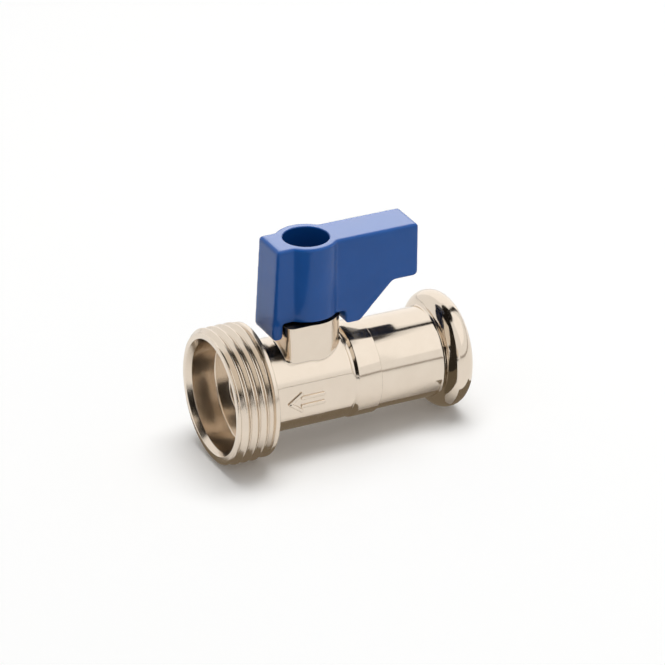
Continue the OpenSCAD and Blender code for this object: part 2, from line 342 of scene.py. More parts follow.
def barrel(bm, start, end, flats):
    """Round length of the barrel, with its two sides cut flat where asked."""
    part = bmesh.new()
    spin_x(part, [(start, 0), (start, body_r), (end, body_r), (end, 0)])
    for side in (-1, 1) if flats else ():
        cut = bmesh.ops.bisect_plane(part, geom=part.verts[:] + part.edges[:] + part.faces[:],
                                     plane_co=(0, side * flat_y * MM, 0), plane_no=(0, side, 0),
                                     clear_outer=True)
        rim = [g for g in cut["geom_cut"] if isinstance(g, bmesh.types.BMEdge)]
        bmesh.ops.holes_fill(part, edges=rim)
    tidy(part)
    scratch = bpy.data.meshes.new("scratch")
    part.to_mesh(scratch)
    part.free()
    bm.from_mesh(scratch)
    bpy.data.meshes.remove(scratch)


def neck(bm):
    """Round neck with the stop block at its front left corner."""
    top = neck_face + 1.5
    middle = Matrix.Translation(Vector((spindle_x, 0, top / 2)) * MM)
    bmesh.ops.create_cone(bm, cap_ends=True, segments=128, radius1=neck_r * MM,
                          radius2=neck_r * MM, depth=top * MM, matrix=middle)
    block = rounded([(-stop_side, -stop_front, 1.1), (0.5, -stop_front, 0), (0.5, 0, 0),
                     (-stop_side, 0, 0)])
    prism(bm, block, lambda p: Vector((spindle_x + p.x, p.y, 0)) * MM, Vector((0, 0, top)) * MM)


forging = bmesh.new()
spin_x(forging, ring_foot())
barrel(forging, barrel_start - 0.3, flats_end, True)
barrel(forging, flats_end, forging_end, False)
neck(forging)
body = piece("body_shell", forging)
soft_skin(body, FORGING_VOXEL, FORGING_ROUNDS)
report(body)

# %% [markdown]
# The hollows and the neck's top are machined after forging, so they are cut out of the
# soft skin with sharp tools: one spun cutter for the waterway, one for the spindle, and a
# round-nosed one for the shallow groove beside the collar.

# %% Machined hollows


def waterway_cutter():
    """Spun tool for the port, the ball's chamber and the joint's thread."""
    wide, end = port_r + 0.05, joint_x + 1
    return [Vector(p) for p in [(0, 0), (0, wide), (ring_back, wide), (ring_back, port_r),
                                (chamber_x, port_r), (chamber_x, chamber_r), (nose_x, chamber_r),
                                (nose_x, joint_bore_r), (end, joint_bore_r), (end, 0)]]


def spindle_cutter():
    """Spun tool for the spindle's bore that also faces the top of the neck."""
    start, shoulder, foot, bevel = 3, 9.25, 4.65, 0.25
    wide, high = neck_r + 6, neck_face + 4
    return [Vector(p) for p in [(0, start), (foot, start), (foot, shoulder),
                                (stem_bore_r, shoulder), (stem_bore_r, neck_face - bevel),
                                (stem_bore_r + bevel, neck_face), (wide, neck_face),
                                (wide, high), (0, high)]]


def groove_cutter():
    """Round-nosed tool for the shallow groove that sets off the collar."""
    nose, reach = 1.2, 0.22
    return arc((collar_x, body_r + nose - reach), nose, 0, 360, 36)[:-1]


for cutter, spin, steps in ((waterway_cutter, spin_x, 96), (spindle_cutter, spin_z, 96),
                            (groove_cutter, spin_x, 192)):
    tool = bmesh.new()
    spin(tool, cutter(), steps=steps)
    boolean(body, piece("tool", tool), "DIFFERENCE")
finish_shape(body)
report(body)

# %% [markdown]
# ## Outlet ring with its thread
#
# The thread is the part that a hose nut grips, and its shadow lines are what the eye sees
# first. A row of plain ridges would do from afar, but a real thread climbs: one tooth is
# spun round the waterway while it moves forward by the pitch for each turn.

# %% Outlet ring
THREAD_START = -0.66
THREAD_TURNS = 4.5
THREAD_SINK = 0.12
THREAD_RUN_OUT = 2.2
FACE_GAP = 0.04


def ring_profile():
    """Section of the outlet ring at the thread's root, with the mouth's floor."""
    back, flange_r = ring_back - 0.55, ring_r - 0.22
    return rounded([
        (0, mouth_rim_r, 0.08), (0, face_r, 0.08), (lead_in * 0.5, face_r, 0.1),
        (lead_in, root_r, 0), (back - 0.95, root_r, 0.1), (back - 0.6, flange_r, 0.15),
        (back + 0.3, flange_r, 0.3), (back + 0.4, port_r, 0), (mouth_depth, port_r, 0.25),
        (mouth_depth, mouth_r, 0.3), (mouth_bevel, mouth_r, 0.3)])


def crest_limit(x):
    """Largest radius that the lead-in bevel leaves at a place along the ring."""
    return face_r + (ring_r - face_r) * min(max(x, 0) / lead_in, 1)


def thread(bm, start, turns, steps=144):
    """One tooth spun into a right-handed helix and turned down to the bevel."""
    half, foot_r = thread_pitch / 2, root_r - THREAD_SINK
    side = [(half * 0.97, foot_r), (half * 0.9, root_r + 0.02), (half * 0.7, root_r + 0.12),
            (0.26, ring_r - 0.17), (0.17, ring_r - 0.08), (0.07, ring_r - 0.02)]
    tooth = [(-x, r) for x, r in side] + side[::-1]
    verts, edges = ring_of(bm, tooth, lambda p: Vector((start + p[0], 0, p[1])) * MM)
    total = round(turns * steps)
    advance = Vector((thread_pitch * turns / total * MM, 0, 0))
    bmesh.ops.spin(bm, geom=verts + edges, cent=(0, 0, 0), axis=(1, 0, 0),
                   angle=math.tau * turns, dvec=advance, steps=total, use_merge=False)
    rims = [e for e in bm.edges if e.is_boundary]
    bmesh.ops.holes_fill(bm, edges=rims)
    end = start + thread_pitch * turns
    for vert in bm.verts:
        x, radius = vert.co.x / MM, Vector(vert.co.yz).length / MM
        fade = min(max((end - x) / thread_pitch, 0), 1)
        crest_r = foot_r + (ring_r - foot_r) * min(fade * THREAD_RUN_OUT, 1)
        wanted = min(radius, crest_limit(x), crest_r)
        vert.co.yz = Vector(vert.co.yz) * (wanted / radius)
        vert.co.x = max(x, FACE_GAP) * MM
    tidy(bm)


ring = bmesh.new()
spin_x(ring, ring_profile(), steps=192)
ring_piece = piece("outlet_ring", ring)
helix = bmesh.new()
thread(helix, THREAD_START, THREAD_TURNS)
helix_piece = piece("thread", helix, sharp=60)
report(helix_piece)

# %% [markdown]
# ## Collar at the joint
#
# The collar is turned on a lathe, so it is spun on its own with crisp bevels. It starts in
# a shallow step on the barrel and stops at the joint, where a hairline stays open.

# %% Collar


def collar_profile():
    """Section of the collar, from the step on the barrel to the joint."""
    start = collar_x - 0.3
    return rounded([(start, joint_bore_r, 0), (start, body_r - 0.5, 0),
                    (collar_x + 0.05, body_r - 0.23, 0.5), (collar_x + 0.65, collar_r, 0.4),
                    (joint_x, collar_r, 0.16), (joint_x, joint_bore_r, 0)])


collar = bmesh.new()
spin_x(collar, collar_profile(), steps=192)
collar_piece = piece("collar", collar)

# %% [markdown]
# ## Raised arrow
#
# The arrow on the front flat shows which way the water runs. It was raised by the forging
# die, so its bars are low and rounded. Bars with bevelled tops are enough at this size.

# %% Raised arrow
ARROW_TIP = (spindle_x - 7.3, -0.3)
ARROW_LENGTH = 6.9
ARROW_HEIGHT = 3.4
ARROW_BAR = 0.72
ARROW_RISE = 0.34
ARROW_SINK = 0.12
ARROW_ROUNDING = 0.22
BARB_SHARE = 0.34
SHAFT_SHARE = 0.38


def raised_bar(bm, start, end):
    """Low rounded bar between two places (x, z) on the front flat."""
    run = Vector(end) - Vector(start)
    middle = (Vector(end) + Vector(start)) / 2
    turn = Matrix.Rotation(-math.atan2(run.y, run.x), 4, "Y")
    front = -flat_y - ARROW_RISE / 2 + ARROW_SINK
    place = Matrix.Translation(Vector((middle.x, front, middle.y)) * MM)
    size = (run.length + ARROW_BAR, ARROW_RISE + 2 * ARROW_SINK, ARROW_BAR, 1)
    shape = Matrix.Diagonal(size) @ Matrix.Scale(MM, 4)
    cube = bmesh.ops.create_cube(bm, size=1, matrix=place @ turn @ shape)["verts"]
    edges = {e for v in cube for e in v.link_edges}
    bmesh.ops.bevel(bm, geom=list(edges), offset=ARROW_ROUNDING * MM, segments=4, profile=0.5,
                    affect="EDGES", material=-1)


arrow = bmesh.new()
for side in (-1, 1):
    tip_x, tip_z = ARROW_TIP
    barb_end = (tip_x + ARROW_LENGTH * BARB_SHARE, tip_z + side * ARROW_HEIGHT / 2)
    bar_z = tip_z + side * ARROW_HEIGHT / 4
    raised_bar(arrow, ARROW_TIP, barb_end)
    raised_bar(arrow, (tip_x + ARROW_LENGTH * SHAFT_SHARE, bar_z), (tip_x + ARROW_LENGTH, bar_z))
tidy(arrow)
arrow_piece = piece("arrow", arrow)
join(body, ring_piece, helix_piece, collar_piece, arrow_piece)
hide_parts("body")
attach(body, "valve_body")
report(body)

# %% [markdown]
# ## Press end
#
# The press end is turned from bar: a screwed spigot that sits in the collar, a plain tube
# and a rolled bead at the rim. Its whole shape is one profile, so one spin makes it.

# %% Press end
BEAD_FILLET = 0.55
SEAL_GROOVE = 1.45
SEAL_GROOVE_MIDDLE = 8.95


def press_profile():
    """Section of the press end, from the spigot's nose to the rim and back."""
    mid = bead_r - bead_section
    bead_x = rim_x - bead_section
    bead_start = bead_x - bead_section
    foot = math.degrees(math.asin((tube_r - mid) / bead_section))
    outside = rounded([(nose_x, port_r, 0.2), (nose_x, spigot_r, 0.4), (joint_x, spigot_r, 0),
                       (joint_x, tube_r, 0.14), (bead_start - 0.45, tube_r, 0)])
    blend = arc((bead_start - 0.35, tube_r + BEAD_FILLET), BEAD_FILLET, 270, 330, 5)
    over = arc((bead_x, mid), bead_section, 180 - foot - 12, 0, 44)
    groove = arc((bead_x, SEAL_GROOVE_MIDDLE), SEAL_GROOVE, -68, 248, 40)
    inside = [(rim_x, socket_r + 0.5), (rim_x - 0.35, socket_r), (bead_x + 0.55, socket_r)]
    back = [(bead_x - 0.55, socket_r), (socket_floor, socket_r), (socket_floor, port_r)]
    return outside + blend + over + [Vector(p) for p in inside] + groove + [Vector(p) for p in back]


press = bmesh.new()
spin_x(press, press_profile(), steps=192)
press_end = piece("press_end_shell", press, sharp=40)
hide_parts("press_end")
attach(press_end, "valve_body")
report(press_end)

# %% [markdown]
# ## Lever
#
# The lever is moulded. Seen from above it is a straight blade that swells into a round
# hub. Seen from the side it has a leg, a hook and a slope up to the tip. Crossing the two
# outlines gives the solid, and the soft skin rounds its edges as a mould does.

# %% Lever
LEVER_VOXEL = 0.16
LEVER_ROUNDS = 40
blade_y = 4.15
hub_blend = 0.4
underside = 14.3
hook_z = 11.6
leg_low = leg_z - 0.45
leg_in = -6.65
hook_in = 6.55
hook_out = hook_in + 2.9
tip_z = lever_top - 10.7
slope_x = 16.4
hub_hole_r = 4.4
hole_bevel = 0.15
CORNER_BEVEL = 0.9
lever_back = -7.8


def lever_side():
    """Side outline as (x, z), with x measured from the spindle."""
    tail_low, tip = lever_end - spindle_x, lever_tip - spindle_x
    return rounded([(lever_back, lever_top, 0.6), (tail_low, leg_low, 0.8), (leg_in, leg_low, 0.8),
                    (leg_in, underside, 0.2), (hook_in, underside, 0.2), (hook_in, hook_z, 0.5),
                    (hook_out, hook_z, 1.1), (slope_x, tip_z, 1.6), (tip, tip_z, 0.8),
                    (tip, lever_top, 0.6)])


def lever_plan():
    """Outline from above as (x, y): a blade that blends into the round hub."""
    f = hub_blend
    cx = math.sqrt((hub_r + f) ** 2 - (blade_y + f) ** 2)
    lean = math.degrees(math.atan2(blade_y + f, cx))
    low = [Vector((lever_end - spindle_x - 1, -blade_y))]
    low += arc((-cx, -blade_y - f), f, 90, lean, 8)
    low += arc((0, 0), hub_r, 180 + lean, 360 - lean, 32)
    low += arc((cx, -blade_y - f), f, 180 - lean, 90, 8)
    low += [Vector((lever_tip - spindle_x + 1, -blade_y))]
    return low + [Vector((p.x, -p.y)) for p in reversed(low)]


def from_spindle(x, y, z):
    """Place in metres from millimetres, with x measured from the spindle."""
    return Vector((spindle_x + x, y, z)) * MM


def round_corners(obj, offset):
    """Bevels the upright corners at the lever's two ends."""
    bm = bmesh.new()
    bm.from_mesh(obj.data)
    bmesh.ops.dissolve_limit(bm, angle_limit=math.radians(1), verts=bm.verts, edges=bm.edges)
    corners = []
    for edge in bm.edges:
        low, high = sorted((v.co / MM for v in edge.verts), key=lambda p: p.z)
        upright = high.z - low.z > 0.9 * (high - low).length and high.z - low.z > 1
        at_end = max(low.x, high.x) < spindle_x - 7 or min(low.x, high.x) > lever_tip - 1
        if upright and at_end and abs(abs(low.y) - blade_y) < 0.1:
            corners.append(edge)
    bmesh.ops.bevel(bm, geom=corners, offset=offset * MM, segments=4, profile=0.5,
                    affect="EDGES", material=-1)
    bm.to_mesh(obj.data)
    bm.free()
    print(len(corners), "upright corners rounded")


solid = bmesh.new()
prism(solid, lever_side(), lambda p: from_spindle(p.x, -hub_r - 1, p.y),
      Vector((0, 2 * hub_r + 2, 0)) * MM)
lever = piece("lever", solid)
plan = bmesh.new()
prism(plan, lever_plan(), lambda p: from_spindle(p.x, p.y, leg_low - 1),
      Vector((0, 0, lever_top - leg_low + 2)) * MM)
boolean(lever, piece("plan", plan), "INTERSECT")
round_corners(lever, CORNER_BEVEL)
soft_skin(lever, LEVER_VOXEL, LEVER_ROUNDS)
report(lever)

# %% [markdown]
# A steel pin in the mould makes the hole down the hub, so its rim is crisp while the
# outside is soft. It is cut after the skin is relaxed, and so is the hole for the spindle
# with its two flats.

# %% Holes down the hub


def screw_hole():
    """Tool for the round hole down to the screw, with a small bevel at its rim."""
    wide = hub_hole_r + hole_bevel
    bm = bmesh.new()
    spin_z(bm, [(0, web_top), (hub_hole_r, web_top), (hub_hole_r, lever_top - hole_bevel),
                (wide, lever_top), (wide, lever_top + 2), (0, lever_top + 2)])
    return piece("tool", bm)


def long_hole():
    """Tool for the round hole with two flats that takes the spindle."""
    flats = 2.65
    angle = math.degrees(math.acos(flats / stem_bore_r))
    points = arc((0, 0), stem_bore_r, angle, 180 - angle, 16)
    points += arc((0, 0), stem_bore_r, 180 + angle, 360 - angle, 16)
    bm = bmesh.new()
    prism(bm, points, lambda p: from_spindle(p.x, p.y, underside - 1),
          Vector((0, 0, web_top - underside + 2)) * MM)
    return piece("tool", bm)


def round_foot():
    """Tool for the round start of the spindle's hole."""
    start, end = underside - 1, underside + 0.4
    bm = bmesh.new()
    spin_z(bm, [(0, start), (stem_bore_r, start), (stem_bore_r, end), (0, end)])
    return piece("tool", bm)


for hole in (screw_hole, long_hole, round_foot):
    boolean(lever, hole(), "DIFFERENCE")
finish_shape(lever, 40)
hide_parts("handle")
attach(lever, "spindle")
report(lever)

# %% [markdown]
# ## Helpers for materials
#
# A material is a small network of nodes. Typing each node and link by hand is long, so a
# few helpers make a node with its settings, join two sockets, and put one value or colour
# between two limits with a mask.

# %% Nodes and colours


def srgb(red, green, blue):
    """Linear colour from the 0 to 255 values of a picture."""
    def linear(v):
        v /= 255
        return v / 12.92 if v <= 0.04045 else ((v + 0.055) / 1.055) ** 2.4
    return (linear(red), linear(green), linear(blue), 1)


def node(tree, kind, **settings):
    """New node with its settings and socket values."""
    made = tree.nodes.new(kind)
    for key, value in settings.items():
        if key in made.inputs:
            made.inputs[key].default_value = value
        else:
            setattr(made, key, value)
    return made


def link(tree, start, end):
    """Joins an output socket to an input socket."""
    tree.links.new(start, end)


def math_node(tree, operation, first, second=None, third=None):
    """Result of a sum on sockets or plain numbers."""
    made = node(tree, "ShaderNodeMath", operation=operation)
    for place, value in enumerate((first, second, third)):
        if isinstance(value, (int, float)):
            made.inputs[place].default_value = value
        elif value is not None:
            link(tree, value, made.inputs[place])
    return made.outputs[0]


print("paper white:", [round(c, 3) for c in srgb(250, 250, 248)])

# %% [markdown]
# ## Shared effects
#
# Three effects turn up in several finishes, so each is a node group, built once: the faint
# unevenness of a forged or moulded skin, the fine rings that a lathe leaves, and a mask
# for the turned lengths of a part whose middle stays as forged. All three read the
# object's own coordinates, so they stay on the piece from every side.

# %% Shared groups


def group(name, inputs, outputs):
    """Empty shader group with named number inputs and outputs."""
    tree = bpy.data.node_groups.new(name, "ShaderNodeTree")
    for label, value in inputs.items():
        socket = tree.interface.new_socket(label, in_out="INPUT", socket_type="NodeSocketFloat")
        socket.default_value = value
    for label in outputs:
        tree.interface.new_socket(label, in_out="OUTPUT", socket_type="NodeSocketFloat")
    return tree, tree.nodes.new("NodeGroupInput").outputs, tree.nodes.new("NodeGroupOutput").inputs


def axis_place(tree):
    """The three object coordinates, one socket each."""
    place = node(tree, "ShaderNodeTexCoord")
    split = node(tree, "ShaderNodeSeparateXYZ")
    link(tree, place.outputs["Object"], split.inputs[0])
    return split.outputs


# %% [markdown]
# A forged or moulded skin is never quite even. Soft noise gives a height for the bump and
# the same noise as a mask, so gloss and colour change where the height does.

# %% Uneven skin
uneven, given, result = group("uneven_skin", {"Size": 900, "Depth": 1}, ("Height", "Mask"))
place = node(uneven, "ShaderNodeTexCoord")
coarse = node(uneven, "ShaderNodeTexNoise", Detail=3, Roughness=0.55)
link(uneven, place.outputs["Object"], coarse.inputs["Vector"])
link(uneven, given["Size"], coarse.inputs["Scale"])
link(uneven, math_node(uneven, "MULTIPLY", coarse.outputs["Fac"], given["Depth"]), result["Height"])
link(uneven, coarse.outputs["Fac"], result["Mask"])

# %% [markdown]
# A lathe leaves fine rings across the axis. Noise along one axis alone gives them. The
# waterway's axis is X, the spindle's is Z, so one input says which of the two counts.

# %% Lathe rings
rings, given, result = group("lathe_rings", {"Rings": 6000, "Depth": 1, "Upright": 0}, ("Height",))
split = axis_place(rings)
across = math_node(rings, "SUBTRACT", split["Z"], split["X"])
along = math_node(rings, "MULTIPLY_ADD", across, given["Upright"], split["X"])
wander = node(rings, "ShaderNodeTexNoise", noise_dimensions="1D", Detail=2)
link(rings, along, wander.inputs["W"])
link(rings, given["Rings"], wander.inputs["Scale"])
link(rings, math_node(rings, "MULTIPLY", wander.outputs["Fac"], given["Depth"]), result["Height"])

# %% [markdown]
# The body is one piece with several finishes. Its own coordinates tell them apart: the ring
# lies before one place along the waterway, the collar after another, and the mouth is what
# lies inside a radius in the ring.

# %% Worked zones
zone_sizes = {"Ring End": 0.009, "Mouth Radius": 0.011, "Collar Start": 0.027}
zones, given, result = group("worked_zones", zone_sizes, ("Mouth", "Ring", "Turned"))
split = axis_place(zones)
ring_zone = math_node(zones, "LESS_THAN", split["X"], given["Ring End"])
radius = math_node(zones, "SQRT", math_node(zones, "MULTIPLY_ADD", split["Y"], split["Y"],
                                            math_node(zones, "MULTIPLY", split["Z"], split["Z"])))
inner = math_node(zones, "LESS_THAN", radius, given["Mouth Radius"])
link(zones, ring_zone, result["Ring"])
link(zones, math_node(zones, "MULTIPLY", ring_zone, inner), result["Mouth"])
link(zones, math_node(zones, "GREATER_THAN", split["X"], given["Collar Start"]), result["Turned"])
print("groups:", [tree.name for tree in (uneven, rings, zones)])

# %% [markdown]
# ## Finishes
#
# Every finish starts from the same shader. What is the same all over is set on the shader
# itself; only what changes over the surface, such as a slight shift of colour or gloss,
# comes in through nodes.

# %% Helpers for finishes


def finish(name, **settings):
    """Material with a Principled shader, its node tree and that shader."""
    material = bpy.data.materials.new(name)
    material.use_nodes = True
    tree = material.node_tree
    shader = tree.nodes["Principled BSDF"]
    for key, value in settings.items():
        shader.inputs[key.replace("_", " ")].default_value = value
    return material, tree, shader


def use(tree, shared, **values):
    """Places a shared group in a material with its own values."""
    made = node(tree, "ShaderNodeGroup", node_tree=shared)
    for key, value in values.items():
        made.inputs[key].default_value = value
    return made.outputs


def vary(tree, mask, low, high):
    """A number between two values, led by a noisy mask."""
    spread = node(tree, "ShaderNodeMapRange")
    for label, value in zip(("From Min", "From Max", "To Min", "To Max"), (0.3, 0.7, low, high)):
        spread.inputs[label].default_value = value
    link(tree, mask, spread.inputs["Value"])
    return spread.outputs[0]


def tint(tree, mask, dark, light, shader):
    """A base colour between two shades, led by a mask."""
    mix = node(tree, "ShaderNodeMix", data_type="RGBA")
    factor, shade_a, shade_b = mix.inputs[0], mix.inputs[6], mix.inputs[7]
    shade_a.default_value, shade_b.default_value = dark, light
    link(tree, mask, factor)
    link(tree, mix.outputs[2], shader.inputs["Base Color"])


def either(tree, mask, without, within):
    """One number where a mask is 0 and another where it is 1."""
    made = node(tree, "ShaderNodeMix")
    for place, value in ((0, mask), (2, without), (3, within)):
        link(tree, value, made.inputs[place])
    return made.outputs[0]


def bump(tree, height, strength, distance, shader):
    """Feeds a height into a shader's normal."""
    made = node(tree, "ShaderNodeBump", Strength=strength, Distance=distance)
    link(tree, height, made.inputs["Height"])
    link(tree, made.outputs["Normal"], shader.inputs["Normal"])


def dress(obj, material):
    """Makes a material the only one of a piece."""
    obj.data.materials.clear()
    obj.data.materials.append(material)


# %% [markdown]
# Nickel plate is a bright, slightly warm metal. The forged middle was only polished, so
# its gloss is softer and its skin faintly uneven. The collar and the press end come from
# the lathe: they mirror more sharply, through very fine rings. The outlet ring is turned
# too, but here it keeps a soft gloss and an uneven skin, and only its mouth shows the rings.

# %% Nickel plate


def nickel():
    """Polished nickel plate on brass, forged in the middle and turned at both ends."""
    material, tree, shader = finish("nickel_plate", Metallic=1)
    skin = use(tree, uneven, Size=420, Depth=1)
    marks = use(tree, rings, Rings=5200, Depth=0.5)
    where = use(tree, zones, **{"Ring End": ring_back * MM, "Mouth Radius": (mouth_r + 0.2) * MM,
                                "Collar Start": (collar_x + 0.1) * MM})
    tint(tree, skin["Mask"], srgb(218, 204, 187), srgb(226, 213, 197), shader)
    gloss = vary(tree, skin["Mask"], 0.15, 0.22)
    for zone, low, high in (("Turned", 0.09, 0.13), ("Ring", 0.17, 0.23), ("Mouth", 0.17, 0.2)):
        gloss = either(tree, where[zone], gloss, vary(tree, skin["Mask"], low, high))
    link(tree, gloss, shader.inputs["Roughness"])
    height = either(tree, where["Turned"], skin["Height"], marks["Height"])
    bump(tree, either(tree, where["Mouth"], height, marks["Height"]), 0.16, 0.00002, shader)
    return material


nickel_plate = nickel()
for shell in (body, press_end):
    dress(shell, nickel_plate)
print("nickel on", body.name, "and", press_end.name)

# %% [markdown]
# The lever is coloured right through, so nothing is painted on. Its skin copies the
# mould: glossy, with a very fine texture that breaks up the brightest reflections. The
# metal mirrors the lever's shaded underside, which is nearly black on the real valve. The
# even light here doesn't leave it that dark, so mirrors are given a darker blue.

# %% Lever blue


def dim_in_mirrors(tree, colour, shader):
    """A darker base colour that only mirrors see."""
    mix = node(tree, "ShaderNodeMix", data_type="RGBA")
    factor, own, mirrored = mix.inputs[0], mix.inputs[6], mix.inputs[7]
    mirrored.default_value = colour
    link(tree, node(tree, "ShaderNodeLightPath").outputs["Is Glossy Ray"], factor)
    link(tree, shader.inputs["Base Color"].links[0].from_socket, own)
    link(tree, mix.outputs[2], shader.inputs["Base Color"])


def lever_blue():
    """Blue moulded nylon."""
    material, tree, shader = finish("lever_blue", Specular_IOR_Level=0.36)
    skin = use(tree, uneven, Size=1200)
    cloud = use(tree, uneven, Size=160)
    tint(tree, cloud["Mask"], srgb(14, 77, 150), srgb(18, 86, 164), shader)
    dim_in_mirrors(tree, srgb(6, 24, 54), shader)
    link(tree, vary(tree, cloud["Mask"], 0.22, 0.25), shader.inputs["Roughness"])
    bump(tree, skin["Height"], 0.02, 0.00002, shader)
    return material


dress(lever, lever_blue())
print("blue on", lever.name)

# %% [markdown]
# The pieces inside keep their solids from the frame and only get a finish. The ball is
# chrome plated and lapped, the spindle is bare turned brass, the seats are a waxy white
# plastic, the seals are greased black rubber, and the screw and its washer are zinc plated.

# %% Finishes for metal inside


def chrome():
    """Bright chrome plate on a lapped ball."""
    material, tree, shader = finish("ball_chrome", Metallic=1)
    skin = use(tree, uneven, Size=700)
    tint(tree, skin["Mask"], srgb(224, 226, 230), srgb(236, 237, 240), shader)
    link(tree, vary(tree, skin["Mask"], 0.05, 0.09), shader.inputs["Roughness"])
    bump(tree, skin["Height"], 0.05, 0.00001, shader)
    return material


def brass():
    """Bare brass, turned about the spindle's own axis."""
    material, tree, shader = finish("bare_brass", Metallic=1)
    skin = use(tree, uneven, Size=600)
    marks = use(tree, rings, Rings=7000, Upright=1)
    tint(tree, skin["Mask"], srgb(214, 176, 104), srgb(226, 190, 120), shader)
    link(tree, vary(tree, marks["Height"], 0.2, 0.32), shader.inputs["Roughness"])
    bump(tree, marks["Height"], 0.25, 0.00002, shader)
    return material


def zinc():
    """Zinc plate with its faint mottle."""
    material, tree, shader = finish("screw_steel", Metallic=1)
    mottle = use(tree, uneven, Size=1500)
    tint(tree, mottle["Mask"], srgb(202, 205, 208), srgb(222, 224, 226), shader)
    link(tree, vary(tree, mottle["Mask"], 0.24, 0.38), shader.inputs["Roughness"])
    bump(tree, mottle["Height"], 0.12, 0.00002, shader)
    return material


# %% [markdown]
# White seat plastic lets a little light in under its skin, which a small subsurface
# weight gives. Rubber is nearly black and never quite even: grease leaves it half glossy.

# %% Finishes for plastic and rubber inside


def waxy_white():
    """White sealing plastic with a waxy sheen."""
    material, tree, shader = finish("seat_plastic", Subsurface_Weight=0.15, Subsurface_Scale=0.001)
    cloud = use(tree, uneven, Size=500)
    tint(tree, cloud["Mask"], srgb(238, 238, 232), srgb(246, 246, 241), shader)
    link(tree, vary(tree, cloud["Mask"], 0.34, 0.46), shader.inputs["Roughness"])
    bump(tree, cloud["Height"], 0.08, 0.00002, shader)
    return material


def rubber():
    """Black sealing rubber with a film of grease."""
    material, tree, shader = finish("seal_rubber")
    film = use(tree, uneven, Size=1100)
    tint(tree, film["Mask"], srgb(28, 28, 28), srgb(44, 43, 42), shader)
    link(tree, vary(tree, film["Mask"], 0.32, 0.58), shader.inputs["Roughness"])
    bump(tree, film["Height"], 0.1, 0.00002, shader)
    return material


# %% [markdown]
# A solid from the frame keeps its mesh as it is. The finish goes into the material slot
# of its object, which is all that changes.

# %% Finish the pieces inside
seat, seal, steel = waxy_white(), rubber(), zinc()
inside = {"ball": chrome(), "stem": brass(),
          "outlet_seat": seat, "inlet_seat": seat, "thrust_washer": seat,
          "lower_stem_seal": seal, "upper_stem_seal": seal, "press_seal_ring": seal,
          "handle_screw": steel, "spring_washer": steel}
for name, material in inside.items():
    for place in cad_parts[name].material_slots:
        place.material = material
    print(name, "is finished in", material.name)

# %% [markdown]
# ## Floor
#
# The valve lies on a white sheet. The sheet tilts by two and a half degrees, because the
# outlet ring is larger than the bead, and both rest on it. It glows a little for the camera
# and for mirrors only, so it reads as white paper and still keeps the valve's shadow.

# %% White paper
FLOOR_GLOW = 0.05
FLOOR_HALF = 4
floor_gap = 0.03
rest_x = ring_back - 0.4
floor_tilt = math.atan2(ring_r - bead_r, rim_x - bead_section - rest_x)
floor_mesh = bmesh.new()
bmesh.ops.create_grid(floor_mesh, x_segments=1, y_segments=1, size=FLOOR_HALF)
floor = piece("floor", floor_mesh, sharp=0)
lay_flat = (Matrix.Translation(Vector((rest_x, 0, -ring_r - floor_gap)) * MM)
            @ Matrix.Rotation(-floor_tilt, 4, "Y")
            @ Matrix.Translation(Vector((-rest_x, 0, 0)) * MM))
floor.data.transform(lay_flat)
paper, tree, shader = finish("white_paper", Base_Color=(0.95, 0.95, 0.945, 1), Roughness=0.9,
                             Specular_IOR_Level=0, Emission_Color=(1, 1, 0.995, 1))
seen = node(tree, "ShaderNodeLightPath").outputs
shown = math_node(tree, "MAXIMUM", seen["Is Camera Ray"], seen["Is Glossy Ray"])
link(tree, math_node(tree, "MULTIPLY", shown, FLOOR_GLOW), shader.inputs["Emission Strength"])
floor.data.materials.append(paper)
print(f"floor tilted {math.degrees(floor_tilt):.2f} degrees")

# %% [markdown]
# ## Light
#
# The room is plain white. The camera and the mirrors see it at full white, while matte
# surfaces get about a third of that, which leaves the colours room below pure white.

# %% World
ROOM_LIGHT = 0.36
world = bpy.data.worlds.new("studio")
bpy.context.scene.world = world
world.use_nodes = True
tree = world.node_tree
seen = node(tree, "ShaderNodeLightPath").outputs
shown = math_node(tree, "MAXIMUM", seen["Is Camera Ray"], seen["Is Glossy Ray"])
shown = math_node(tree, "MAXIMUM", shown, seen["Is Transmission Ray"])
level = node(tree, "ShaderNodeMapRange")
level.inputs["To Min"].default_value = ROOM_LIGHT
level.inputs["To Max"].default_value = 1.0
link(tree, shown, level.inputs["Value"])
link(tree, level.outputs[0], tree.nodes["Background"].inputs["Strength"])
tree.nodes["Background"].inputs["Color"].default_value = (1, 1, 1, 1)
bpy.context.scene.view_settings.view_transform = "Standard"
print("room light on matte surfaces:", ROOM_LIGHT)

# %% [markdown]
# Two soft lamps help the room. A large one overhead throws the shadow under the valve; the
# metal doesn't mirror it. A small one low behind gives the lever's top its pale sheen, and
# light linking keeps it off everything else.

# %% Lamps


def toward(azimuth, elevation, distance):
    """Place at a distance from the valve's middle, by azimuth and elevation in degrees."""
    return VIEW_TARGET + away(math.radians(azimuth), math.radians(elevation)) * distance


def softbox(name, azimuth, elevation, distance, size, radiance):
    """Square lamp that faces the valve, set by how bright it looks."""
    lamp = bpy.data.lights.new(name, "AREA")
    lamp.shape = "SQUARE"
    lamp.size = size
    lamp.energy = radiance * math.pi * size * size
    obj = bpy.data.objects.new(name, lamp)
    bpy.context.scene.collection.objects.link(obj)
    obj.location = toward(azimuth, elevation, distance)
    obj.rotation_euler = (VIEW_TARGET - obj.location).to_track_quat("-Z", "Y").to_euler()
    return obj


key_light = softbox("key_light", azimuth=120, elevation=84, distance=1.3, size=0.85, radiance=5.6)
key_light.visible_glossy = False
back_light = softbox("back_light", azimuth=154, elevation=29, distance=0.6, size=0.24, radiance=3.0)
plastic_only = bpy.data.collections.new("plastic_only")
plastic_only.objects.link(lever)
bpy.context.scene.collection.children.link(plastic_only)
back_light.light_linking.receiver_collection = plastic_only
for lamp in (key_light, back_light):
    print(lamp.name, [round(c, 2) for c in lamp.location])

